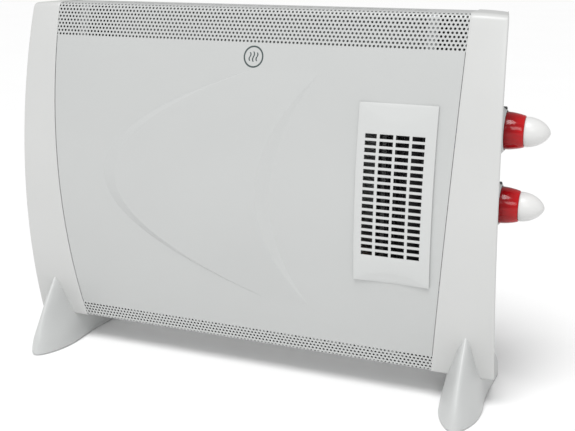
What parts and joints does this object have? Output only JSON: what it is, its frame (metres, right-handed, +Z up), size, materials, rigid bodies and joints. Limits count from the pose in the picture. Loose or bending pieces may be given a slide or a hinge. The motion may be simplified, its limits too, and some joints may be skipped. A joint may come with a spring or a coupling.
{
  "type": "fan convector heater",
  "caption": "Free-standing fan convector heater with a bowed perforated front, fin feet, a tall blower grille and two side knobs.",
  "frame": {"origin": "centre of the whole object's box, on the floor", "axes": "+Z up, front towards -Y, +X towards the end with the knobs"},
  "size_m": [0.6365, 0.157, 0.438],
  "materials": {
    "aluminium_parts": "mill aluminium",
    "brass_parts": "turned brass",
    "casing_enamel": "satin cool-white enamel",
    "ceramic_parts": "unglazed ceramic",
    "collar_plastic": "light-grey moulding",
    "dark_plastic": "black moulding",
    "end_cap_plastic": "satin warm-white moulding",
    "foot_plastic": "satin light-grey moulding",
    "grille_plastic": "satin cool-white moulding",
    "lamination": "varnished laminations",
    "pad_rubber": "black rubber",
    "red_plastic": "translucent dark red",
    "steel": "bright steel",
    "terminal_plastic": "ivory moulding",
    "white_plastic": "satin white",
    "winding": "enamelled copper",
    "wire_blue": "blue insulation",
    "wire_red": "brown insulation",
    "zinc_sheet": "zinc-plated sheet"
  },
  "bodies": {
    "casing": {"cable_gland": "dark_plastic", "cap_screws": "zinc_sheet", "control_bracket": "zinc_sheet", "control_nuts": "brass_parts", "element_brackets": "zinc_sheet", "element_fins": "aluminium_parts", "element_terminals": "ceramic_parts", "element_tube": "steel", "element_wire": "wire_blue", "fan_bearings": "brass_parts", "fan_grille": "grille_plastic", "fan_housing": "dark_plastic", "fan_wire": "wire_red", "foot_pads": "pad_rubber", "foot_screws": "zinc_sheet", "front_panel": "casing_enamel", "heat_baffle": "aluminium_parts", "left_bulkhead": "zinc_sheet", "left_end_cap": "end_cap_plastic", "left_foot": "foot_plastic", "motor_bridges": "zinc_sheet", "motor_coil": "winding", "motor_core": "lamination", "motor_hanger": "zinc_sheet", "rear_panel": "casing_enamel", "right_bulkhead": "zinc_sheet", "right_end_cap": "end_cap_plastic", "right_foot": "foot_plastic", "selector_body": "dark_plastic", "selector_collar": "collar_plastic", "supply_wire": "wire_red", "terminal_block": "terminal_plastic", "thermal_cutout": "ceramic_parts", "thermostat_body": "dark_plastic", "thermostat_collar": "collar_plastic", "wire_grommet": "pad_rubber"},
    "thermostat_knob": {"thermostat_knob_skirt": "red_plastic", "thermostat_knob_tip": "white_plastic", "thermostat_spindle": "steel"},
    "selector_knob": {"selector_knob_skirt": "red_plastic", "selector_knob_tip": "white_plastic", "selector_spindle": "steel"},
    "blower_rotor": {"fan_drum": "dark_plastic", "fan_shaft": "steel", "motor_rotor": "steel"}
  },
  "joints": [
    {"name": "thermostat_turn", "type": "hinge", "parent": "casing", "child": "thermostat_knob", "pos_m": [0.2818, 0.0225, 0.314], "axis": [1, 0, 0], "range_deg": [0, 270]},
    {"name": "selector_turn", "type": "hinge", "parent": "casing", "child": "selector_knob", "pos_m": [0.2818, 0.0225, 0.2315], "axis": [1, 0, 0], "range_deg": [0, 180]},
    {"name": "blower_spin", "type": "hinge", "parent": "casing", "child": "blower_rotor", "pos_m": [0.1653, 0.0105, 0.243], "axis": [0, 0, 1], "continuous": true}
  ]
}
